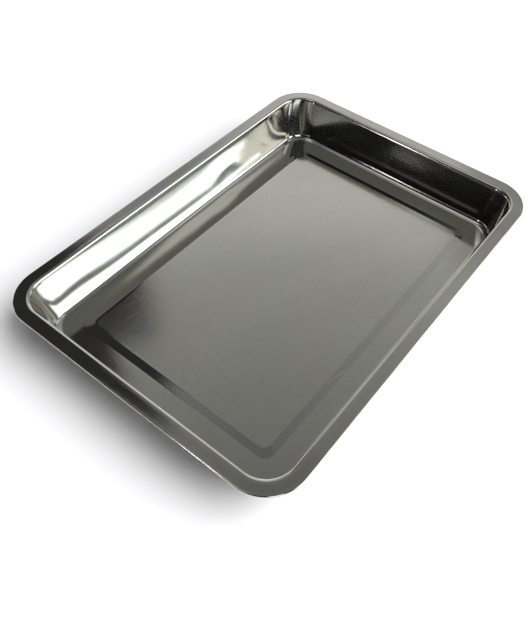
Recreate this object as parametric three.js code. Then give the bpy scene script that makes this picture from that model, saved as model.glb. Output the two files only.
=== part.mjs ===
// A shallow rectangular tray, drawn from one stainless steel sheet.
// Millimetres, +Z up. The origin is the middle of the footprint, on the plane the tray stands on.
//
// One profile describes the pressing, seen in a section through a side. It runs outwards from the
// raised panel in the middle of the floor, down a shallow ramp to the flat border that the tray
// stands on, up the sloping wall, over the shoulder to the flat rim, and round the hem, where the
// sheet's edge is folded flat under the rim. Each band of the profile is carried round a rounded
// rectangle, and is parted where the straight sides meet the corners.
import * as THREE from "three";

// Overall size
const LENGTH = 270;
const WIDTH = 198;
const HEIGHT = 30;
const SHEET = 0.6;

// Section, along the sheet's upper and inner face
const RIM_WIDTH = 7;
const SHOULDER_BEND = 2;
const WALL_SLOPE = THREE.MathUtils.degToRad(10.7);
const FOOT_BEND = 3.5;
const BORDER_WIDTH = 14.1;
const RAMP_WIDTH = 4.3;
const RAMP_BEND = 4;
const PANEL_RISE = 0.8;
const HEM_GAP = 0.3;
const HEM_RETURN = 5.5;

// Plan: corner radius of the rounded rectangle along each line of the pressing
const RIM_CORNER = 24;
const WALL_FOOT_CORNER = 13.5;
const RAMP_FOOT_CORNER = 6;
const PANEL_CORNER = 4.5;

// Steps in each curve
const CORNER_STEPS = 16;
const BEND_STEPS = 5;
const RAMP_BEND_STEPS = 2;
const HEM_STEPS = 8;

// Finishes
const SATIN = { color: 0x9b9994, roughness: 0.32, metalness: 1 };
const POLISHED = { color: 0xd2d1ce, roughness: 0.07, metalness: 1 };
const BRUSHED = { color: 0xb3b1ad, roughness: 0.22, metalness: 1 };

// Places in the section. x is 0 at the tray's outer edge and negative inwards, y is the height.
const wallTurn = Math.PI / 2 - WALL_SLOPE;
const shoulderX = -RIM_WIDTH - SHOULDER_BEND * Math.tan(wallTurn / 2);
const footX = shoulderX - (HEIGHT - SHEET) * Math.tan(WALL_SLOPE);
const borderEdgeX = footX - FOOT_BEND * Math.tan(wallTurn / 2);
const rampFootX = footX - BORDER_WIDTH;
const rampTopX = rampFootX - RAMP_WIDTH;
const rampBendRun = RAMP_BEND * Math.tan(Math.atan(PANEL_RISE / RAMP_WIDTH) / 2);
const panelEdgeX = rampTopX - rampBendRun;
const rampEdgeX = rampFootX + rampBendRun;
const hemRadius = SHEET + HEM_GAP / 2; // outside radius of the fold

/** Samples of place and direction round a bend that leaves start in a direction and turns by an angle. */
function bend(start, direction, angle, radius, steps) {
  const centre = new THREE.Vector2(-direction.y, direction.x);
  centre.multiplyScalar(Math.sign(angle) * radius).add(start);
  const samples = [];
  for (let step = 0; step <= steps; step += 1) {
    const turned = (angle * step) / steps;
    samples.push({
      place: start.clone().rotateAround(centre, turned),
      direction: direction.clone().rotateAround(new THREE.Vector2(), turned),
    });
  }
  return samples;
}

/** Samples of the bends at the inner points of a bent line. The line is straight between them. */
function bentLine(points, radius, steps) {
  const vectors = points.map(([x, y]) => new THREE.Vector2(x, y));
  const headings = vectors.slice(1).map((point, i) => point.clone().sub(vectors[i]).normalize());
  const samples = [];
  for (let i = 1; i < vectors.length - 1; i += 1) {
    const [before, after] = [headings[i - 1], headings[i]];
    const angle = Math.atan2(before.cross(after), before.dot(after));
    const run = radius[i - 1] * Math.tan(Math.abs(angle) / 2);
    const start = vectors[i].clone().addScaledVector(before, -run);
    samples.push(...bend(start, before, angle, radius[i - 1], steps));
  }
  return samples;
}

/** A band of the section. Its plan corner radius changes evenly from its inner to its outer edge. */
function band(samples, innerCorner, outerCorner) {
  const innerX = samples[0].place.x;
  const outerX = samples[samples.length - 1].place.x;
  const growth = (outerCorner - innerCorner) / (outerX - innerX);
  return { samples, growth, cornerAt: (x) => innerCorner + (x - innerX) * growth };
}

const outwards = new THREE.Vector2(1, 0);
const flat = (fromX, toX, height) =>
  [fromX, toX].map((x) => ({ place: new THREE.Vector2(x, height), direction: outwards.clone() }));

const rampSamples = bentLine(
  [[panelEdgeX, SHEET + PANEL_RISE], [rampTopX, SHEET + PANEL_RISE], [rampFootX, SHEET], [rampEdgeX, SHEET]],
  [RAMP_BEND, RAMP_BEND],
  RAMP_BEND_STEPS,
);
const wallSamples = bentLine(
  [[borderEdgeX, SHEET], [footX, SHEET], [shoulderX, HEIGHT], [-RIM_WIDTH, HEIGHT]],
  [FOOT_BEND, SHOULDER_BEND],
  BEND_STEPS,
);
const hemFold = bend(new THREE.Vector2(-hemRadius, HEIGHT), outwards, -Math.PI, hemRadius, HEM_STEPS);
const hemEnd = {
  place: new THREE.Vector2(-HEM_RETURN, HEIGHT - 2 * hemRadius),
  direction: outwards.clone().negate(),
};

const ramp = band(rampSamples, PANEL_CORNER, RAMP_FOOT_CORNER);
const border = band(flat(rampEdgeX, borderEdgeX, SHEET), RAMP_FOOT_CORNER, WALL_FOOT_CORNER);
const wall = band(wallSamples, WALL_FOOT_CORNER, RIM_CORNER - RIM_WIDTH);
const rim = band(flat(-RIM_WIDTH, -hemRadius, HEIGHT), RIM_CORNER - RIM_WIDTH, RIM_CORNER - hemRadius);
const hem = {
  samples: [...hemFold, hemEnd],
  growth: 1,
  cornerAt: (x) => RIM_CORNER + x,
};

/** Which way a corner's centre lies along X and Y, and the headings that its arc covers. */
const corners = [
  { name: "back_right", centre: new THREE.Vector2(1, 1) },
  { name: "back_left", centre: new THREE.Vector2(-1, 1) },
  { name: "front_left", centre: new THREE.Vector2(-1, -1) },
  { name: "front_right", centre: new THREE.Vector2(1, -1) },
].map((corner, quarter) => ({ ...corner, start: (quarter * Math.PI) / 2 }));

/** Stations round a corner, from the end of one straight side to the start of the next. */
function cornerStations(corner) {
  const stations = [];
  for (let step = 0; step <= CORNER_STEPS; step += 1) {
    const heading = corner.start + (step / CORNER_STEPS) * (Math.PI / 2);
    stations.push({ centre: corner.centre, facing: new THREE.Vector2(Math.cos(heading), Math.sin(heading)) });
  }
  return stations;
}

// Every sector of the tray, anticlockwise from the right-hand side
const sides = ["back", "left", "front", "right"];
const sectors = corners.flatMap((corner, quarter) => {
  const next = corners[(quarter + 1) % corners.length];
  return [
    { name: `${corner.name}_corner`, stations: cornerStations(corner) },
    { name: sides[quarter], stations: [cornerStations(corner).at(-1), cornerStations(next)[0]] },
  ];
});

/** The point of the sheet's upper face at a sample and a station, and the point below it. */
function sheetPoints({ place, direction }, { growth, cornerAt }, { centre, facing }) {
  const corner = cornerAt(place.x);
  const upper = new THREE.Vector3(
    centre.x * (LENGTH / 2 + place.x - corner) + corner * facing.x,
    centre.y * (WIDTH / 2 + place.x - corner) + corner * facing.y,
    place.y,
  );
  const cornerChange = growth * direction.x;
  const outwardChange = (direction.x - cornerChange) * centre.dot(facing) + cornerChange;
  const normal = new THREE.Vector3(-direction.y * facing.x, -direction.y * facing.y, outwardChange).normalize();
  return { upper, lower: upper.clone().addScaledVector(normal, -SHEET) };
}

/** Collects vertices and faces of a closed body. */
class Body {
  positions = [];
  faces = [];

  vertex(point) {
    this.positions.push(point.x, point.y, point.z);
    return this.positions.length / 3 - 1;
  }

  quad(a, b, c, d) {
    this.faces.push(a, b, c, a, c, d);
  }

  geometry() {
    const geometry = new THREE.BufferGeometry();
    geometry.setAttribute("position", new THREE.Float32BufferAttribute(this.positions, 3));
    geometry.setIndex(this.faces);
    geometry.computeVertexNormals();
    return geometry;
  }
}

/** Adds both faces of the sheet over a band and a run of stations, and its outer edge. */
function addSheet(body, shape, stations) {
  const grid = stations.map((station) =>
    shape.samples.map((sample) => {
      const { upper, lower } = sheetPoints(sample, shape, station);
      return { upper: body.vertex(upper), lower: body.vertex(lower) };
    }),
  );
  for (let j = 0; j < grid.length - 1; j += 1) {
    const [near, far] = [grid[j], grid[j + 1]];
    for (let i = 0; i < near.length - 1; i += 1) {
      body.quad(near[i].upper, near[i + 1].upper, far[i + 1].upper, far[i].upper);
      body.quad(near[i].lower, far[i].lower, far[i + 1].lower, near[i + 1].lower);
    }
    const [nearEdge, farEdge] = [near.at(-1), far.at(-1)];
    body.quad(nearEdge.upper, nearEdge.lower, farEdge.lower, farEdge.upper);
  }
  return grid;
}

/** One sector of a band: a strip of sheet with all four of its edges. */
function sectorGeometry(shape, stations) {
  const body = new Body();
  const grid = addSheet(body, shape, stations);
  for (let j = 0; j < grid.length - 1; j += 1) {
    const [near, far] = [grid[j][0], grid[j + 1][0]];
    body.quad(near.upper, far.upper, far.lower, near.lower);
  }
  const [first, last] = [grid[0], grid.at(-1)];
  for (let i = 0; i < first.length - 1; i += 1) {
    body.quad(first[i].upper, first[i].lower, first[i + 1].lower, first[i + 1].upper);
    body.quad(last[i].upper, last[i + 1].upper, last[i + 1].lower, last[i].lower);
  }
  return body.geometry();
}

/** The raised panel with its ramp: a band that goes all the way round, closed across the middle. */
function panelGeometry(shape) {
  const body = new Body();
  const round = corners.flatMap(cornerStations);
  const grid = addSheet(body, shape, round);
  const seam = [grid.at(-1), grid[0]];
  for (let i = 0; i < seam[0].length - 1; i += 1) {
    body.quad(seam[0][i].upper, seam[0][i + 1].upper, seam[1][i + 1].upper, seam[1][i].upper);
    body.quad(seam[0][i].lower, seam[1][i].lower, seam[1][i + 1].lower, seam[0][i + 1].lower);
  }
  body.quad(seam[0].at(-1).upper, seam[0].at(-1).lower, seam[1].at(-1).lower, seam[1].at(-1).upper);
  const upperMiddle = body.vertex(new THREE.Vector3(0, 0, SHEET + PANEL_RISE));
  const lowerMiddle = body.vertex(new THREE.Vector3(0, 0, PANEL_RISE));
  grid.forEach((near, j) => {
    const far = grid[(j + 1) % grid.length];
    body.faces.push(upperMiddle, near[0].upper, far[0].upper);
    body.faces.push(lowerMiddle, far[0].lower, near[0].lower);
  });
  return body.geometry();
}

const group = new THREE.Group();

function addPiece(name, geometry, finish) {
  const piece = new THREE.Mesh(geometry, new THREE.MeshStandardMaterial(finish));
  piece.name = name;
  group.add(piece);
}

addPiece("floor_panel", panelGeometry(ramp), SATIN);
for (const { name, stations } of sectors) {
  addPiece(`border_${name}`, sectorGeometry(border, stations), SATIN);
  addPiece(`wall_${name}`, sectorGeometry(wall, stations), POLISHED);
  addPiece(`rim_${name}`, sectorGeometry(rim, stations), BRUSHED);
  addPiece(`hem_${name}`, sectorGeometry(hem, stations), BRUSHED);
}

export default group;
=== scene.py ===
import math

import bpy
import numpy as np
from mathutils import Matrix, Vector, noise


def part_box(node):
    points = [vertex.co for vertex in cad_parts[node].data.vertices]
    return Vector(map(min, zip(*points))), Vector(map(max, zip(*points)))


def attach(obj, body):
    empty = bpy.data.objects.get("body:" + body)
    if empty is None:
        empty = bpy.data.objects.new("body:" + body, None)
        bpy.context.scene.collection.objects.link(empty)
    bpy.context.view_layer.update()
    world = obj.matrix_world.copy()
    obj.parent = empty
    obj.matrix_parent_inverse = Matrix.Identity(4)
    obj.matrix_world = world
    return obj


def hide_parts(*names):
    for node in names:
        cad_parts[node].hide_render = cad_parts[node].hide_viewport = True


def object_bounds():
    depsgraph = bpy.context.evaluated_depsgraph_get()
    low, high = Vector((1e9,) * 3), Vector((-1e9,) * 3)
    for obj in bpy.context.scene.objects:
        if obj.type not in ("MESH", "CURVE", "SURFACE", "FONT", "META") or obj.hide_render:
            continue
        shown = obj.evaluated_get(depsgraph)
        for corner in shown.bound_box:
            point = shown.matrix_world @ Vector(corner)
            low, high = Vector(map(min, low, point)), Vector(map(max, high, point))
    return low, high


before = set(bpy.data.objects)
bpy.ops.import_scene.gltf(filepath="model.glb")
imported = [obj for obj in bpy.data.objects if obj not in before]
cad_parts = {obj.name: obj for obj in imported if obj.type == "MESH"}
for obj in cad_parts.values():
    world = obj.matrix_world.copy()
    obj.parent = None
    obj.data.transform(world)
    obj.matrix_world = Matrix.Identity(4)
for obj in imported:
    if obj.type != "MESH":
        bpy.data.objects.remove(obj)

# A shallow rectangular tray, drawn from one stainless steel sheet and shown on a pale table.
#
# The sheet's upper face is one section carried round a rounded rectangle, pushed slightly out of
# true as a press leaves it. It is parted at the press lines into the pieces that the frame names.
# Every piece takes its normals from the whole sheet, so that no seam shows where two pieces meet.
# Lengths are in millimetres until a mesh or the camera is made. Shaders work in metres.

MM = 0.001
cad_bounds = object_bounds()

# ------------------------------------------------------------------ sizes taken from the frame


def node_box(name):
    """Lowest and highest corner of a CAD node, in millimetres."""
    low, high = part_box(name)
    return low / MM, high / MM


HALF_LENGTH = cad_bounds[1].x / MM
HALF_WIDTH = cad_bounds[1].y / MM
HEIGHT = cad_bounds[1].z / MM
SHEET = node_box("border_right")[1].z
PANEL_TOP = node_box("floor_panel")[1].z
RIM_WIDTH = HALF_LENGTH - node_box("rim_right")[0].x
RIM_CORNER = HALF_LENGTH - node_box("hem_back")[1].x
HEM_RADIUS = (HEIGHT - node_box("hem_right")[0].z) / 2
HEM_RETURN = HALF_LENGTH - node_box("hem_right")[0].x
BORDER_EDGE = node_box("border_right")[1].x - HALF_LENGTH
RAMP_EDGE = node_box("floor_panel")[1].x - HALF_LENGTH

# ------------------------------------------------------------------ sizes of the section's bends
WALL_SLOPE = math.radians(10.7)  # how far the wall leans out from upright
FOOT_BEND = 3.5
SHOULDER_BEND = 2.0
RAMP_WIDTH = 4.3
RAMP_BEND = 4.0
WALL_FOOT_CORNER = 13.5
RAMP_FOOT_CORNER = 6.0
PANEL_CORNER = 4.5
SQUARE_RING = 6.0  # how far inside the panel's edge its corners have become square

# ------------------------------------------------------------------ how finely the sheet is made
LONG_STEPS = 130
SHORT_STEPS = 95
CORNER_STEPS = 40
RING_STEPS = 4
RAMP_BEND_STEPS = 6
RAMP_STEPS = 5
BORDER_STEPS = 9
FOOT_STEPS = 12
WALL_STEPS = 18
SHOULDER_STEPS = 10
RIM_STEPS = 7
FOLD_STEPS = 12
HEM_STEPS = 4

# ------------------------------------------------------------------ the section


def straight(start, end, steps):
    """Points (x, z, heading) from one place to another, both ends included."""
    run, rise = end[0] - start[0], end[1] - start[1]
    heading = math.atan2(rise, run)
    return [
        (start[0] + run * k / steps, start[1] + rise * k / steps, heading)
        for k in range(steps + 1)
    ]


def bend(start, heading, angle, radius, steps):
    """Points (x, z, heading) round a bend that turns by an angle, both ends included."""
    side = math.copysign(radius, angle)
    centre_x = start[0] - side * math.sin(heading)
    centre_z = start[1] + side * math.cos(heading)
    headings = [heading + angle * k / steps for k in range(steps + 1)]
    return [(centre_x + side * math.sin(h), centre_z - side * math.cos(h), h) for h in headings]


def chain(*runs):
    """Joins runs of points end to end. Each run starts where the last one stopped."""
    points = list(runs[0])
    for run in runs[1:]:
        points += run[1:]
    return points


def panel_band():
    """The outer ring of the raised panel, and the ramp that carries it down to the border."""
    angle = math.atan((PANEL_TOP - SHEET) / RAMP_WIDTH)
    panel_edge = RAMP_EDGE - RAMP_WIDTH - 2 * RAMP_BEND * math.tan(angle / 2)
    brow = bend((panel_edge, PANEL_TOP), 0, -angle, RAMP_BEND, RAMP_BEND_STEPS)
    toe_start = (RAMP_EDGE - RAMP_BEND * math.sin(angle), SHEET + RAMP_BEND * (1 - math.cos(angle)))
    toe = bend(toe_start, -angle, angle, RAMP_BEND, RAMP_BEND_STEPS)
    ring = straight((panel_edge - SQUARE_RING, PANEL_TOP), (panel_edge, PANEL_TOP), RING_STEPS)
    return ring, chain(brow, straight(brow[-1], toe[0], RAMP_STEPS), toe)


def wall_band():
    """The foot bend, the sloping wall and the shoulder bend."""
    turn = math.pi / 2 - WALL_SLOPE
    foot = bend((BORDER_EDGE, SHEET), 0, turn, FOOT_BEND, FOOT_STEPS)
    shoulder_start = (
        -RIM_WIDTH - SHOULDER_BEND * math.sin(turn),
        HEIGHT - SHOULDER_BEND * (1 - math.cos(turn)),
    )
    shoulder = bend(shoulder_start, turn, -turn, SHOULDER_BEND, SHOULDER_STEPS)
    return chain(foot, straight(foot[-1], shoulder_start, WALL_STEPS), shoulder)


def hem_band():
    """The edge folded down and back under the rim, as far as its free edge."""
    fold = bend((-HEM_RADIUS, HEIGHT), 0, -math.pi, HEM_RADIUS, FOLD_STEPS)
    return chain(fold, straight(fold[-1], (-HEM_RETURN, HEIGHT - 2 * HEM_RADIUS), HEM_STEPS))


class Section:
    """The sheet's upper face in section, from inside the panel out to the hem's free edge.

    x is 0 at the tray's outer edge and negative inwards. Every sample has its x and height, the
    direction (run, rise) that the section takes there, and its plan corner radius.
    """

    def __init__(self):
        self.first_row = {}
        self.last_row = {}
        self.samples = []

    def add(self, band, points, inner_corner, outer_corner):
        """Adds a band, which shares its first sample with the band before it."""
        first_x, last_x = points[0][0], points[-1][0]
        growth = (outer_corner - inner_corner) / (last_x - first_x)
        rows = []
        for x, z, heading in points:
            run, rise = math.cos(heading), math.sin(heading)
            rows.append((x, z, run, rise, inner_corner + (x - first_x) * growth, growth * run))
        self.first_row[band] = max(0, len(self.samples) - 1)
        self.samples += rows if not self.samples else rows[1:]
        self.last_row[band] = len(self.samples) - 1

    def columns(self):
        """x, z, run, rise, corner and the corner's growth, each as one upright array."""
        return [column[:, None] for column in np.array(self.samples).T]

    def across(self):
        """Distance from the first sample, measured along the section."""
        x, z = np.array(self.samples).T[:2]
        return np.concatenate([[0], np.cumsum(np.hypot(np.diff(x), np.diff(z)))])

    def share(self, band):
        """How far each row is through a band: 0 before it, 1 after it."""
        across = self.across()
        start, end = across[self.first_row[band]], across[self.last_row[band]]
        return np.clip((across - start) / (end - start), 0, 1)[:, None]


def tray_section():
    """The section from the raised panel's outer ring to the hem's free edge, band by band."""
    section = Section()
    ring, ramp = panel_band()
    section.add("ring", ring, 0, PANEL_CORNER)
    section.add("ramp", ramp, PANEL_CORNER, RAMP_FOOT_CORNER)
    border = straight((RAMP_EDGE, SHEET), (BORDER_EDGE, SHEET), BORDER_STEPS)
    section.add("border", border, RAMP_FOOT_CORNER, WALL_FOOT_CORNER)
    section.add("wall", wall_band(), WALL_FOOT_CORNER, RIM_CORNER - RIM_WIDTH)
    rim = straight((-RIM_WIDTH, HEIGHT), (-HEM_RADIUS, HEIGHT), RIM_STEPS)
    section.add("rim", rim, RIM_CORNER - RIM_WIDTH, RIM_CORNER - HEM_RADIUS)
    section.add("hem", hem_band(), RIM_CORNER - HEM_RADIUS, RIM_CORNER - HEM_RETURN)
    return section


# ------------------------------------------------------------------ stations round the tray


class Outline:
    """Stations anticlockwise round the tray, in sides and corners named as the frame names them."""

    CORNERS = {
        "back_right": (1, 1),
        "back_left": (-1, 1),
        "front_left": (-1, -1),
        "front_right": (1, -1),
    }
    SIDES = ("right", "back", "left", "front")

    def __init__(self):
        self.first = {}
        self.last = {}
        self.centres = []
        self.facings = []
        signs = list(self.CORNERS.values())
        for quarter, (side, corner) in enumerate(zip(self.SIDES, self.CORNERS)):
            steps = SHORT_STEPS if side in ("right", "left") else LONG_STEPS
            start, end = np.array(signs[quarter - 1]), np.array(signs[quarter])
            facing = quarter * math.pi / 2
            self.add(side, [(start + (end - start) * k / steps, facing) for k in range(steps)])
            turns = [facing + math.pi / 2 * k / CORNER_STEPS for k in range(CORNER_STEPS)]
            self.add(corner + "_corner", [(end, turn) for turn in turns])

    def add(self, sector, stations):
        """Adds a side's or a corner's stations, each with its centre's signs and the way it faces."""
        self.first[sector] = len(self.centres)
        self.centres += [centre for centre, _ in stations]
        self.facings += [(math.cos(facing), math.sin(facing)) for _, facing in stations]
        self.last[sector] = len(self.centres)


# ------------------------------------------------------------------ the sheet

SEED_STEP = Vector((17.3, 5.1, 9.7))  # how far apart two noises are taken


def smooth(value):
    """Smoothstep of a value already between 0 and 1."""
    return value * value * (3 - 2 * value)


def fade(value, start, end):
    """Goes smoothly from 0 to 1 as the value goes from start to end."""
    return smooth(np.clip((value - start) / (end - start), 0, 1))


def noise_field(points, seed, wavelength, height_wavelength=math.inf):
    """Smooth noise between about -1 and 1 at each point, with its own wavelength in height."""
    shift = SEED_STEP * seed
    scale = np.array([1 / wavelength, 1 / wavelength, 1 / height_wavelength])
    flat = points.reshape(-1, 3) * scale
    values = [noise.noise(Vector(point) + shift) for point in flat]
    return np.array(values).reshape(points.shape[:-1])


class Sheet:
    """The upper face as a grid of points: a row for each sample, a column for each station."""

    LONG_BELLY = 1.6  # how far the long walls' middle height stands out from a straight slope
    SHORT_BELLY = -0.3  # the same for the short walls, which stand in
    LEFT_BELLY = 0.4  # the share of the belly that remains at the tray's left end
    FULL_BELLY = 0.625  # how far along the tray, from its left end, the belly is whole
    BELLY_SCALE = 2.6  # brings the belly's profile to 1 where it is deepest
    BELLY_FOOT, BELLY_HEAD = 1 / 7, 8 / 9  # shares of the wall, outside which the belly fades away
    BOW = 0.2  # how far the drawn wall wanders in and out
    RIPPLE = 0.03  # the same for its smaller waves
    STREAK = 0.08  # depth of the long shallow waves along the wall
    FLUTE = 0.045  # depth of the upright flutes where the corners were squeezed
    FLUTE_WAVES = ((5, 0, 0.7), (3.2, 1, 0.5))  # waves in a corner, phase, and share of the depth
    FLUTE_FOOT, FLUTE_HEAD = 0.35, 0.75  # shares of the wall, between which the flutes deepen
    OIL_CAN = 0.05  # how far the floor lifts here and there
    RIM_WAVE = 0.03  # how far the rim waves up and down
    RIM_DROOP = 0.2  # how far the rim falls away towards its outer edge
    DENTS = (  # place, reach along x, y and z, and depth
        ((42, 90, 16), (12, 20, 6), 0.5),
        ((-95, 90, 17), (18, 20, 8), 0.35),
    )
    BORDER_POLISH = 0.55  # from 0, satin, to 1, mirror
    RIM_POLISH = 0.5
    LEAST_LENGTH = 0.01  # taken between stations that share one corner point

    def __init__(self, section, outline):
        self.section, self.outline = section, outline
        x, z, run, rise, corner, growth = section.columns()
        centre = np.array(outline.centres, float)[None]
        facing = np.array(outline.facings)[None]
        halves = np.array([HALF_LENGTH, HALF_WIDTH])
        plan = centre * (halves + (x - corner)[..., None]) + facing * corner[..., None]
        upright = np.ones(facing.shape[:2])
        self.points = np.concatenate([plan, (z * upright)[..., None]], axis=2)
        slide = centre * (run - growth)[..., None] + facing * growth[..., None]
        outward = np.concatenate([slide, (rise * upright)[..., None]], axis=2)
        sideways = np.stack([-facing[..., 1], facing[..., 0], 0 * upright], axis=2)
        sideways = np.broadcast_to(sideways, self.points.shape)
        self.normals = self.unit(np.cross(outward, sideways))

        # The push tilts both directions along the face, and so turns the normals.
        push = self.unevenness()
        along = np.roll(self.points, -1, 1) - np.roll(self.points, 1, 1)
        length = np.maximum(np.linalg.norm(along, axis=2, keepdims=True), self.LEAST_LENGTH)
        sideways = sideways + (np.roll(push, -1, 1) - np.roll(push, 1, 1)) / length
        outward = outward + np.gradient(push, section.across(), axis=0)
        self.points = self.points + push
        self.normals = self.unit(np.cross(outward, sideways))

        middle = (section.first_row["rim"] + section.last_row["rim"]) // 2
        rim = np.vstack([self.points[middle], self.points[middle, :1]])
        self.around = np.concatenate([[0], np.cumsum(np.linalg.norm(np.diff(rim, axis=0), axis=1))])
        self.polish = self.burnishing()

    @staticmethod
    def unit(vectors):
        """The same directions, each one long."""
        return vectors / np.linalg.norm(vectors, axis=2, keepdims=True)

    def burnishing(self):
        """How polished each row is: 0 on the satin panel, 1 where the press stretched the sheet."""
        share = self.section.share
        onto_ramp = fade(share("ring"), 5 / 6, 1)
        off_ramp = fade(share("border"), 0, 1 / 8)
        onto_foot = fade(share("border"), 7 / 8, 1)
        on_border = (1 - self.BORDER_POLISH) * (off_ramp - onto_foot)
        onto_rim = fade(share("rim"), 0, 1 / 4)
        return onto_ramp - on_border - (1 - self.RIM_POLISH) * onto_rim

    def unevenness(self):
        """How far the press leaves each point from its true place."""
        through_wall = self.section.share("wall")
        on_wall = fade(through_wall, 0, 1 / 4) * fade(through_wall, 1, 3 / 4)
        bow = self.BOW * noise_field(self.points, seed=1, wavelength=70, height_wavelength=32)
        ripple = self.RIPPLE * noise_field(self.points, seed=2, wavelength=22, height_wavelength=16)
        streak = self.STREAK * noise_field(self.points, seed=5, wavelength=70, height_wavelength=11)
        loose = (bow + ripple + streak + self.flutes(through_wall) + self.dents()) * on_wall
        wall = loose - self.belly(through_wall)

        floor = self.floor_lift(self.points) * (1 - smooth(self.section.share("border")))
        rim = self.RIM_WAVE * noise_field(self.points, seed=4, wavelength=45) - self.RIM_DROOP
        push = self.normals * wall[..., None]
        push[..., 2] += floor + rim * smooth(self.section.share("rim"))
        return push

    def belly(self, through_wall):
        """How far the walls stand out from a straight slope, most of all just above half way up."""
        long_side = np.array(self.outline.facings)[:, 1] ** 2
        depth = self.SHORT_BELLY + (self.LONG_BELLY - self.SHORT_BELLY) * long_side[None]
        rightward = (1 + self.points[..., 0] / HALF_LENGTH) / 2
        depth = depth * (self.LEFT_BELLY + (1 - self.LEFT_BELLY) * fade(rightward, 0, self.FULL_BELLY))
        profile = self.BELLY_SCALE * through_wall * (1 - through_wall ** 2)
        ends = fade(through_wall, 0, self.BELLY_FOOT) * fade(through_wall, 1, self.BELLY_HEAD)
        return depth * profile * ends

    def dents(self):
        """Local bulges into the tray, where the wall was pulled out of true."""
        bulge = np.zeros(self.points.shape[:2])
        for place, reach, depth in self.DENTS:
            away = (self.points - np.array(place)) / np.array(reach)
            bulge += depth * np.exp(-np.sum(away ** 2, axis=2))
        return bulge

    def flutes(self, through_wall):
        """Upright flutes near the top of each corner, fading out on to the straight walls."""
        facing = np.array(self.outline.facings)
        turn = np.arctan2(np.abs(facing[:, 1]), np.abs(facing[:, 0]))
        at_corner = np.sin(2 * turn) ** 2
        waves = sum(
            share * np.cos(4 * turn * count + phase) for count, phase, share in self.FLUTE_WAVES
        )
        near_top = fade(through_wall, self.FLUTE_FOOT, self.FLUTE_HEAD)
        return self.FLUTE * (at_corner * waves)[None] * near_top

    @classmethod
    def floor_lift(cls, points):
        """The floor's slight lift at each point."""
        return cls.OIL_CAN * (noise_field(points, seed=3, wavelength=85) + 1)

    def patches(self, band):
        """Each of a band's nodes, with the vertex data and faces that stand for it."""
        if band == "floor_panel":
            return [(band, self.floor_panel())]
        return [(f"{band}_{sector}", self.patch(band, sector)) for sector in self.outline.first]

    def patch(self, band, sector):
        """Vertex data and faces of one band over one side or corner."""
        rows = np.arange(self.section.first_row[band], self.section.last_row[band] + 1)
        columns = np.arange(self.outline.first[sector], self.outline.last[sector] + 1)
        wrapped = columns % len(self.outline.centres)
        index = np.arange(len(rows) * len(columns)).reshape(len(rows), len(columns))
        developed = np.stack(
            np.meshgrid(self.around[columns], self.section.across()[rows]), axis=2
        )
        return (
            self.points[np.ix_(rows, wrapped)].reshape(-1, 3),
            self.normals[np.ix_(rows, wrapped)].reshape(-1, 3),
            developed.reshape(-1, 2),
            np.repeat(self.polish[rows], len(columns)),
            quads(index),
        )

    def floor_panel(self):
        """Vertex data and faces of the raised panel with its ramp, closed over in the middle."""
        stations = len(self.outline.centres)
        inner = self.points[0]
        grid_x = np.linspace(inner[:, 0].min(), inner[:, 0].max(), LONG_STEPS + 1)
        grid_y = np.linspace(inner[:, 1].min(), inner[:, 1].max(), SHORT_STEPS + 1)
        flat_x, flat_y = np.meshgrid(grid_x, grid_y)
        grid = np.stack([flat_x, flat_y, np.full_like(flat_x, PANEL_TOP)], axis=2)
        grid[..., 2] += self.floor_lift(grid)
        slope_y, slope_x = np.gradient(grid[..., 2], grid_y, grid_x)
        grid_normals = self.unit(np.stack([-slope_x, -slope_y, np.ones_like(slope_x)], axis=2))
        grid_index = np.arange(grid[..., 0].size).reshape(grid.shape[:2])

        last = self.section.last_row["ramp"]
        ring_index = np.arange(last * stations).reshape(last, stations) + grid_index.size
        index = np.vstack([self.grid_edge(grid_index), ring_index])
        index = np.hstack([index, index[:, :1]])
        across = self.section.across()[1 : last + 1]
        developed = np.vstack([
            grid[..., :2].reshape(-1, 2),
            np.stack(np.meshgrid(self.around[:-1], across), axis=2).reshape(-1, 2),
        ])
        ring_polish = np.repeat(self.polish[1 : last + 1], stations)
        return (
            np.vstack([grid.reshape(-1, 3), self.points[1 : last + 1].reshape(-1, 3)]),
            np.vstack([grid_normals.reshape(-1, 3), self.normals[1 : last + 1].reshape(-1, 3)]),
            developed,
            np.concatenate([np.zeros(grid_index.size), ring_polish]),
            quads(grid_index.T) + quads(index),
        )

    def grid_edge(self, grid_index):
        """The grid vertex that each station's innermost point falls on."""
        edges = (grid_index[:, -1], grid_index[-1, ::-1], grid_index[::-1, 0], grid_index[0])
        stations = []
        for edge in edges:
            stations += list(edge[:-1]) + [edge[-1]] * CORNER_STEPS
        return np.array(stations)[None]


def quads(index):
    """Faces of a grid of vertex numbers, without the corners that fall on one vertex."""
    loops = np.stack([index[:-1, :-1], index[1:, :-1], index[1:, 1:], index[:-1, 1:]], axis=2)
    faces = [tuple(dict.fromkeys(loop)) for loop in loops.reshape(-1, 4).tolist()]
    return [face for face in faces if len(face) > 2]


def open_edges(faces):
    """Edges that only one face uses, in that face's direction."""
    directed = {}
    for face in faces:
        for start, end in zip(face, face[1:] + face[:1]):
            directed[start, end] = True
    return [(start, end) for start, end in directed if (end, start) not in directed]


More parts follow.
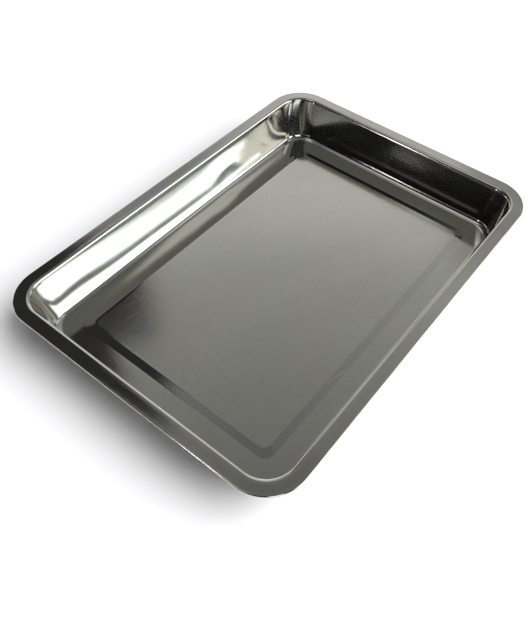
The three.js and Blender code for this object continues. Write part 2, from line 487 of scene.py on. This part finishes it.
def solid_sheet(name, points, normals, developed, polish, faces):
    """A closed solid one sheet thick under a face, shaded with the sheet's own normals."""
    count = len(points)
    under = points - normals * SHEET
    lower_faces = [tuple(count + vertex for vertex in reversed(face)) for face in faces]
    side_faces = [(end, start, start + count, end + count) for start, end in open_edges(faces)]
    every_face = faces + lower_faces + side_faces
    every_point = np.vstack([points, under])
    mesh = bpy.data.meshes.new(name)
    mesh.from_pydata((every_point * MM).tolist(), [], every_face, shade_flat=False)

    vertex_normals = np.vstack([normals, -normals])
    corners = np.array([vertex for face in every_face for vertex in face])
    loop_normals = vertex_normals[corners]
    side_start = len(corners) - 4 * len(side_faces)
    sides = every_point[corners[side_start:]].reshape(-1, 4, 3)
    side_normals = np.cross(sides[:, 2] - sides[:, 0], sides[:, 3] - sides[:, 1])
    side_normals /= np.linalg.norm(side_normals, axis=1, keepdims=True)
    loop_normals[side_start:] = np.repeat(side_normals, 4, axis=0)
    mesh.normals_split_custom_set(loop_normals.tolist())

    uv_layer = mesh.uv_layers.new(name="developed")
    uv_layer.data.foreach_set("uv", (np.vstack([developed, developed])[corners] * MM).ravel())
    polish_layer = mesh.attributes.new("polish", "FLOAT", "POINT")
    polish_layer.data.foreach_set("value", np.concatenate([polish, polish]).ravel())
    mesh.update()
    piece = bpy.data.objects.new(name, mesh)
    bpy.context.scene.collection.objects.link(piece)
    return piece


# ------------------------------------------------------------------ shaders


class Shader:
    """Builds a node tree. An input given to a node is a number, a colour or another node's socket."""

    def __init__(self, tree):
        self.tree = tree
        tree.nodes.clear()

    def add(self, kind, inputs=None, **settings):
        node = self.tree.nodes.new("ShaderNode" + kind)
        for name, value in settings.items():
            setattr(node, name, value)
        for key, value in (inputs or {}).items():
            if isinstance(value, bpy.types.NodeSocket):
                self.tree.links.new(value, node.inputs[key])
            else:
                node.inputs[key].default_value = value
        return node

    def position(self):
        """The place on the tray."""
        return self.add("TexCoord").outputs["Object"]

    def developed(self):
        """The place on the sheet laid out flat: the way round the tray, then the way out."""
        return self.add("UVMap", uv_map="developed").outputs[0]

    def math(self, operation, *values):
        return self.add("Math", dict(enumerate(values)), operation=operation).outputs[0]

    def total(self, *values):
        result = values[0]
        for value in values[1:]:
            result = self.math("ADD", result, value)
        return result

    def product(self, *values):
        result = values[0]
        for value in values[1:]:
            result = self.math("MULTIPLY", result, value)
        return result

    def weighted(self, *terms):
        """The sum of some values, each times its weight."""
        return self.total(*(self.product(value, weight) for value, weight in terms))

    def ramp(self, value, start, end, low=0.0, high=1.0):
        """Goes smoothly from low to high as the value goes from start to end."""
        inputs = {"Value": value, "From Min": start, "From Max": end, "To Min": low, "To Max": high}
        return self.add("MapRange", inputs, interpolation_type="SMOOTHSTEP").outputs["Result"]

    def noise(self, vector, scale, detail=2.0, roughness=0.5):
        """Noise about 0, from roughly -0.5 to 0.5. The scale may differ along x, y and z."""
        if isinstance(scale, tuple):
            vector = self.add("Mapping", {"Vector": vector, "Scale": scale}).outputs[0]
            scale = 1.0
        inputs = {"Vector": vector, "Scale": scale, "Detail": detail, "Roughness": roughness}
        return self.math("SUBTRACT", self.add("TexNoise", inputs).outputs[0], 0.5)

    def turned(self, vector, degrees):
        """A position turned about z."""
        angle = (0.0, 0.0, math.radians(degrees))
        return self.add("Mapping", {"Vector": vector, "Rotation": angle}).outputs[0]

    def blend(self, factor, first, second):
        """Mixes two colours."""
        return self.add("Mix", {0: factor, 6: first, 7: second}, data_type="RGBA").outputs[2]


# ------------------------------------------------------------------ steel

PALE_STEEL = (0.68, 0.68, 0.635, 1)
DARK_STEEL = (0.56, 0.555, 0.515, 1)
STAINED_STEEL = (0.58, 0.53, 0.46, 1)
SATIN_ROUGHNESS = 0.12
MIRROR_ROUGHNESS = 0.05
LEAST_ROUGHNESS = 0.02
MIRROR_SHARE = 0.35  # how much of its marks' roughness the steel keeps where it is polished
WALL_HAZE = 0.2  # roughness that stretching leaves all over the wall, before that share is taken
BUMP_DEPTH = 1.5e-5  # metres
SCRATCH_FINENESS = 60  # how much finer a scratch is across than along
SPECK_CELLS = 42.0  # in a metre
SPECK_CORE, SPECK_EDGE = 0.012, 0.022  # radii, as shares of a cell
SPECK_RARITY = 0.86  # the share of cells that have no speck


# Each detail below gives what it adds to the roughness, the bump's height, the tone between dark
# and pale steel, and how stained the steel is.


def scratches(shader, position, scale, degrees, rarity):
    """Sparse hairline scratches that run about one way, as a mask."""
    drifting = shader.turned(position, degrees)
    line = shader.noise(drifting, (scale, scale * SCRATCH_FINENESS, scale), detail=1.0)
    gaps = shader.noise(drifting, (scale * 0.8, scale * 9, scale), detail=0.0)
    return shader.product(shader.ramp(line, rarity, rarity + 0.04), shader.ramp(gaps, 0.02, 0.14))


def specks(shader, position):
    """Small round specks at random places, as a mask."""
    cells = shader.add("TexVoronoi", {"Vector": position, "Scale": SPECK_CELLS})
    near = shader.ramp(cells.outputs["Distance"], SPECK_EDGE, SPECK_CORE)
    chance = shader.add("SeparateXYZ", {0: cells.outputs["Color"]}).outputs[0]
    return shader.product(near, shader.math("GREATER_THAN", chance, SPECK_RARITY))


def floor_detail(shader):
    """Satin sheet as it is rolled: grain along the tray, wiping smears, hairlines and specks."""
    position = shader.position()
    grain = shader.noise(position, (220.0, 2600.0, 220.0))
    tooth = shader.noise(position, 1000.0)
    peel = shader.noise(position, 190.0, detail=1.0)
    smear = shader.noise(shader.turned(position, 24), (9.0, 34.0, 9.0), detail=3.0, roughness=0.6)
    lines = shader.total(
        scratches(shader, position, scale=26.0, degrees=12, rarity=0.2),
        scratches(shader, position, scale=21.0, degrees=-38, rarity=0.22),
        scratches(shader, position, scale=17.0, degrees=71, rarity=0.23),
    )
    speck = specks(shader, position)
    rough = shader.weighted((smear, 0.10), (grain, 0.05), (tooth, 0.04), (lines, 0.07))
    height = shader.weighted((grain, 0.30), (tooth, 0.22), (peel, 0.5), (lines, -0.5), (speck, 4.0))
    tone = shader.weighted((smear, 0.9), (grain, 0.6), (tooth, 0.8), (speck, -2.5))
    blotches = shader.noise(position, 14.0, detail=4.0, roughness=0.65)
    stain = shader.ramp(blotches, -0.05, 0.3, high=0.5)
    return rough, height, tone, stain


def wall_detail(shader):
    """Metal stretched over the press: faint marks up the wall, and a little orange peel."""
    position = shader.position()
    developed = shader.developed()
    marks = shader.noise(developed, (380.0, 26.0, 1.0), detail=3.0, roughness=0.6)
    broad = shader.noise(developed, (70.0, 9.0, 1.0))
    peel = shader.noise(position, 260.0, detail=1.0)
    smear = shader.noise(position, (26.0, 26.0, 60.0), detail=3.0)
    rough = shader.total(shader.weighted((marks, 0.05), (broad, 0.03), (smear, 0.05)), WALL_HAZE)
    height = shader.weighted((marks, 0.10), (broad, 1.0), (peel, 0.2))
    tone = shader.weighted((smear, 0.5), (marks, 0.5))
    stain = shader.ramp(shader.noise(position, 30.0, detail=3.0), 0.0, 0.4, high=0.3)
    return rough, height, tone, stain


def rim_detail(shader):
    """Fine brushing that follows the rim, with a few rubbed places."""
    position = shader.position()
    developed = shader.developed()
    brush = shader.noise(developed, (35.0, 3800.0, 1.0), detail=3.0, roughness=0.7)
    coarse = shader.noise(developed, (12.0, 900.0, 1.0))
    rubbed = shader.noise(position, 38.0, detail=3.0, roughness=0.6)
    rough = shader.weighted((brush, 0.10), (rubbed, 0.12), (coarse, 0.04))
    height = shader.weighted((brush, 0.9), (coarse, 0.9))
    tone = shader.weighted((brush, 1.2), (rubbed, 1.2))
    blotches = shader.noise(position, 45.0, detail=4.0, roughness=0.6)
    stain = shader.ramp(blotches, -0.05, 0.3, high=0.6)
    return rough, height, tone, stain


def steel(name, detail):
    """Stainless steel. The polish attribute takes it from satin to mirror, and detail adds the marks."""
    material = bpy.data.materials.new(name)
    material.use_nodes = True
    shader = Shader(material.node_tree)
    polish = shader.add("Attribute", attribute_name="polish").outputs["Fac"]
    rough, height, tone, stain = detail(shader)
    base = shader.add(
        "MapRange", {"Value": polish, "To Min": SATIN_ROUGHNESS, "To Max": MIRROR_ROUGHNESS}
    ).outputs["Result"]
    share = shader.ramp(polish, 0.0, 1.0, low=1.0, high=MIRROR_SHARE)
    marked = shader.total(base, shader.product(rough, share))
    roughness = shader.math("MAXIMUM", marked, LEAST_ROUGHNESS)
    clean = shader.blend(shader.math("ADD", tone, 0.5), DARK_STEEL, PALE_STEEL)
    colour = shader.blend(stain, clean, STAINED_STEEL)
    bump = shader.add("Bump", {"Height": height, "Distance": BUMP_DEPTH, "Strength": 1.0}).outputs[0]
    metal = shader.add(
        "BsdfPrincipled", {"Base Color": colour, "Metallic": 1.0, "Roughness": roughness, "Normal": bump}
    )
    shader.add("OutputMaterial", {"Surface": metal.outputs[0]})
    return material


# ------------------------------------------------------------------ surroundings

# What the steel reflects, as directions round the tray. Azimuth is anticlockwise from +X and
# elevation is above the table, both in degrees.
ROOM_GREYS = (  # elevation and grey
    (0, 1.1), (18, 1.0), (30, 0.6), (36, 0.57), (41, 0.69), (46.5, 0.455), (48, 0.41), (52, 0.355),
    (60, 0.26), (72, 0.155), (90, 0.14),
)
ROOM_BLUE = 0.98  # the room's blue, against its red and its green
BACKDROP = (0.97, 0.97, 0.97, 1)  # what the camera sees past the table
TABLE_AMBIENT = (0.07, 0.07, 0.073, 1)  # what the matt table receives from the room
TABLE_COLOUR = (0.86, 0.86, 0.87, 1)
TABLE_ROUGHNESS = 0.9
TABLE_HALF = 15.0  # metres


class Card:
    """A soft-edged panel of even brightness, which the steel sees in one direction.

    Softness is the width of its edges, in azimuth and in elevation. Warmth makes it a little
    redder, or bluer where it is negative.
    """

    def __init__(self, azimuths, elevations, softness, brightness, warmth=0.0):
        self.azimuths, self.elevations = azimuths, elevations
        self.softness = softness
        self.colour = (brightness * (1 + warmth), brightness, brightness * (1 - warmth), 1)

    def mask(self, shader, azimuth, elevation):
        """1 on the card and 0 off it."""
        sides = []
        for angle, (low, high), soft in zip(
            (azimuth, elevation), (self.azimuths, self.elevations), self.softness
        ):
            sides.append(shader.ramp(angle, low - soft / 2, low + soft / 2))
            sides.append(shader.ramp(angle, high + soft / 2, high - soft / 2))
        return shader.product(*sides)


# Each card covers the ones before it. Azimuths run from -180 to 180, so what lies on the left takes
# two cards, which meet there.
CARDS = (
    # dim, front right
    Card(azimuths=(-80, -25), elevations=(-8, 100), softness=(6, 3), brightness=0.22),
    # bright, high on the right
    Card(azimuths=(-39, -12), elevations=(51, 62.5), softness=(4, 4), brightness=0.9),
    # dim, low on the right
    Card(azimuths=(-10, 17), elevations=(-8, 46), softness=(6, 4), brightness=0.32),
    # dim, low at the back right
    Card(azimuths=(46, 75), elevations=(14, 42), softness=(14, 4), brightness=0.28),
    # dark, from the back to the left
    Card(azimuths=(100, 200), elevations=(-8, 100), softness=(16, 3), brightness=0.17),
    # darker, from the left to the front
    Card(azimuths=(-200, -80), elevations=(-8, 100), softness=(3, 3), brightness=0.05),
    # black, the lower part of each of those two
    Card(azimuths=(100, 200), elevations=(-8, 41), softness=(4, 6), brightness=0.006),
    Card(azimuths=(-200, -80), elevations=(-8, 45), softness=(3, 8), brightness=0.006),
    # dark, at the back
    Card(azimuths=(63, 110), elevations=(12, 63), softness=(2.5, 3), brightness=0.03),
    # small and black, at the back right
    Card(azimuths=(56.3, 64), elevations=(44.5, 52.5), softness=(2.5, 2.5), brightness=0.005),
    # bright, high at the back left
    Card(azimuths=(105, 146), elevations=(62.5, 80), softness=(5, 3), brightness=1.1),
    # two small lamps, low on the left and at the back
    Card(azimuths=(157.5, 161), elevations=(0, 10), softness=(2, 4), brightness=12.0),
    Card(azimuths=(105, 114), elevations=(2, 9), softness=(2, 2), brightness=4.0),
    # a soft light, front left
    Card(azimuths=(-139, -112), elevations=(17, 48), softness=(9, 8), brightness=2.4),
    # the taller end of the window, at the front, and the window, from the front to the right
    Card(azimuths=(-92, -65), elevations=(20, 37), softness=(12, 5), brightness=3.0, warmth=-0.06),
    Card(azimuths=(-90, -39), elevations=(4, 31), softness=(15, 4), brightness=3.6, warmth=-0.06),
    # dim, under the window
    Card(azimuths=(-86, -32), elevations=(-8, 6), softness=(6, 6), brightness=0.3),
)


def room_world():
    """The room as the steel, the table and the camera see it."""
    world = bpy.data.worlds.new("room")
    bpy.context.scene.world = world
    world.use_nodes = True
    shader = Shader(world.node_tree)
    sight = shader.add("SeparateXYZ", {0: shader.add("TexCoord").outputs["Generated"]}).outputs
    azimuth = shader.math("DEGREES", shader.math("ARCTAN2", sight[1], sight[0]))
    elevation = shader.math("DEGREES", shader.math("ARCSINE", sight[2]))
    greys = shader.add("ValToRGB", {0: shader.math("DIVIDE", elevation, 90.0)})
    stops = greys.color_ramp.elements
    while len(stops) < len(ROOM_GREYS):
        stops.new(0.5)
    for stop, (angle, grey) in zip(stops, ROOM_GREYS):
        stop.position = angle / 90
        stop.color = (grey, grey, grey * ROOM_BLUE, 1)
    colour = greys.outputs[0]
    for card in CARDS:
        colour = shader.blend(card.mask(shader, azimuth, elevation), colour, card.colour)

    # The cards would fill the tray's shadow, so what lights the matt table is one plain grey.
    path = shader.add("LightPath").outputs
    colour = shader.blend(path["Diffuse Depth"], colour, TABLE_AMBIENT)
    glow = shader.add("Background", {"Color": shader.blend(path["Is Camera Ray"], colour, BACKDROP)})
    shader.add("OutputWorld", {"Surface": glow.outputs[0]})


def direction(azimuth, elevation):
    """The way that an azimuth and an elevation point."""
    azimuth, elevation = math.radians(azimuth), math.radians(elevation)
    level = math.cos(elevation)
    return Vector((math.cos(azimuth) * level, math.sin(azimuth) * level, math.sin(elevation)))


def lamp(name, azimuth, elevation, spread, energy):
    """A distant soft lamp. It lights the table, and the steel reflects the room's cards instead."""
    data = bpy.data.lights.new(name, "SUN")
    data.energy = energy
    data.angle = math.radians(spread)
    light = bpy.data.objects.new(name, data)
    light.rotation_euler = direction(azimuth, elevation).to_track_quat("Z", "Y").to_euler()
    light.visible_glossy = False
    bpy.context.scene.collection.objects.link(light)


def table():
    """The pale table top that the tray stands on."""
    mesh = bpy.data.meshes.new("table")
    signs = ((-1, -1), (1, -1), (1, 1), (-1, 1))
    mesh.from_pydata([(TABLE_HALF * x, TABLE_HALF * y, 0) for x, y in signs], [], [(0, 1, 2, 3)])
    top = bpy.data.objects.new("table", mesh)
    bpy.context.scene.collection.objects.link(top)
    material = bpy.data.materials.new("table_paper")
    material.use_nodes = True
    paper = material.node_tree.nodes["Principled BSDF"]
    paper.inputs["Base Color"].default_value = TABLE_COLOUR
    paper.inputs["Roughness"].default_value = TABLE_ROUGHNESS
    mesh.materials.append(material)


# ------------------------------------------------------------------ camera

CAMERA_TARGET = Vector((-39.4, -39.5, HEIGHT))
CAMERA_HEADING = 35.33  # degrees, like the pitch and the roll
CAMERA_PITCH = 52.28  # below level
CAMERA_ROLL = 2.80
CAMERA_DISTANCE = 347.8
CAMERA_LENS = 37.12
CAMERA_SHIFT = (-0.0569, 0.0124)


def place_camera():
    """The camera, which looks at its target from a distance and is rolled about its own line."""
    data = bpy.data.cameras.new("camera")
    data.lens = CAMERA_LENS
    data.shift_x, data.shift_y = CAMERA_SHIFT
    data.clip_start, data.clip_end = 0.01, 100
    camera = bpy.data.objects.new("camera", data)
    bpy.context.scene.collection.objects.link(camera)
    bpy.context.scene.camera = camera
    forward = direction(CAMERA_HEADING, -CAMERA_PITCH)
    roll = math.radians(CAMERA_ROLL)
    level = forward.cross(Vector((0, 0, 1))).normalized()
    upward = level.cross(forward)
    right = level * math.cos(roll) + upward * math.sin(roll)
    upward = right.cross(forward)
    axes = Matrix((right, upward, -forward)).transposed()
    place = (CAMERA_TARGET - forward * CAMERA_DISTANCE) * MM
    camera.matrix_world = Matrix.Translation(place) @ axes.to_4x4()


# ------------------------------------------------------------------ the scene

FINISHES = {  # each material slot's bands, and the detail of its steel
    "floor_satin": (("floor_panel", "border"), floor_detail),
    "wall_polished": (("wall",), wall_detail),
    "rim_brushed": (("rim", "hem"), rim_detail),
}


def add_piece(node, patch, material):
    """Makes the piece that stands for a node."""
    piece = solid_sheet(node + "_steel", *patch)
    piece.data.materials.append(material)
    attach(piece, "root")
    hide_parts(node)


def make_tray():
    """Every piece of the tray, finish by finish."""
    sheet = Sheet(tray_section(), Outline())
    for slot, (bands, detail) in FINISHES.items():
        material = steel(slot, detail)
        for band in bands:
            for node, patch in sheet.patches(band):
                add_piece(node, patch, material)


make_tray()
table()
room_world()
lamp("key", azimuth=-66, elevation=45, spread=50, energy=3.8)
lamp("fill", azimuth=-50, elevation=36, spread=110, energy=2.0)
place_camera()
bpy.context.scene.view_settings.view_transform = "Standard"
